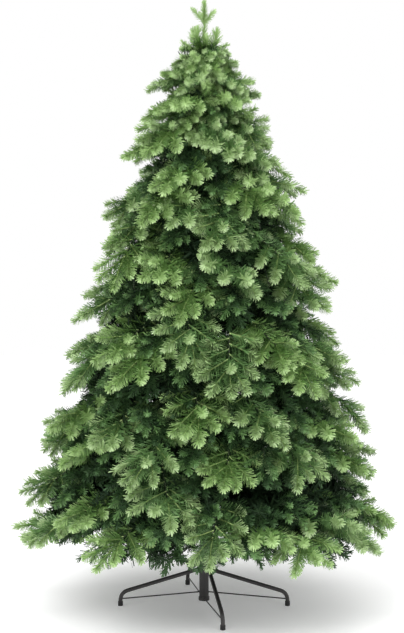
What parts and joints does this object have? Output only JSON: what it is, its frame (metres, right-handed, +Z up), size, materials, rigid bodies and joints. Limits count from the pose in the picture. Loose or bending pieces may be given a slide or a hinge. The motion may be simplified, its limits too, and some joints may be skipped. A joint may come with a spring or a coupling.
{
  "type": "artificial christmas tree",
  "caption": "Full undecorated artificial fir, conical, with tiers of drooping sprays round a hidden pole, standing on a folding steel stand with bent legs and plastic feet.",
  "frame": {"origin": "on the floor, under the pole's axis", "axes": "+Z up the pole to the leader's tip, -Y to the front, +X to the right as seen from the front"},
  "size_m": [1.4763, 1.493, 2.286],
  "materials": {
    "needles": "matte",
    "pole": "satin",
    "stand": "satin",
    "feet": "matte"
  },
  "bodies": {
    "root": {"leader": "needles", "mass_1_1": "needles", "mass_1_2": "needles", "mass_1_3": "needles", "mass_1_4": "needles", "mass_1_5": "needles", "mass_1_6": "needles", "mass_2_1": "needles", "mass_2_2": "needles", "mass_2_3": "needles", "mass_2_4": "needles", "mass_2_5": "needles", "mass_2_6": "needles", "mass_3_1": "needles", "mass_3_2": "needles", "mass_3_3": "needles", "mass_3_4": "needles", "mass_3_5": "needles", "mass_4_1": "needles", "mass_4_2": "needles", "mass_4_3": "needles", "mass_4_4": "needles", "mass_4_5": "needles", "mass_5_1": "needles", "mass_5_2": "needles", "mass_5_3": "needles", "mass_5_4": "needles", "mass_5_5": "needles", "mass_6_1": "needles", "mass_6_2": "needles", "mass_6_3": "needles", "mass_6_4": "needles", "mass_7_1": "needles", "mass_7_2": "needles", "mass_7_3": "needles", "mass_8_1": "needles", "mass_8_2": "needles", "mass_8_3": "needles", "mass_9_1": "needles", "mass_9_2": "needles", "mass_9_3": "needles", "pole_lower": "pole", "pole_middle": "pole", "pole_rod": "pole", "pole_upper": "pole", "stand_brace_back": "stand", "stand_brace_front": "stand", "stand_brace_left": "stand", "stand_brace_right": "stand", "stand_foot_back": "feet", "stand_foot_front": "feet", "stand_foot_left": "feet", "stand_foot_right": "feet", "stand_leg_back": "stand", "stand_leg_front": "stand", "stand_leg_left": "stand", "stand_leg_right": "stand", "stand_ring_lower": "stand", "stand_ring_upper": "stand", "stand_socket": "stand"}
  },
  "joints": []
}
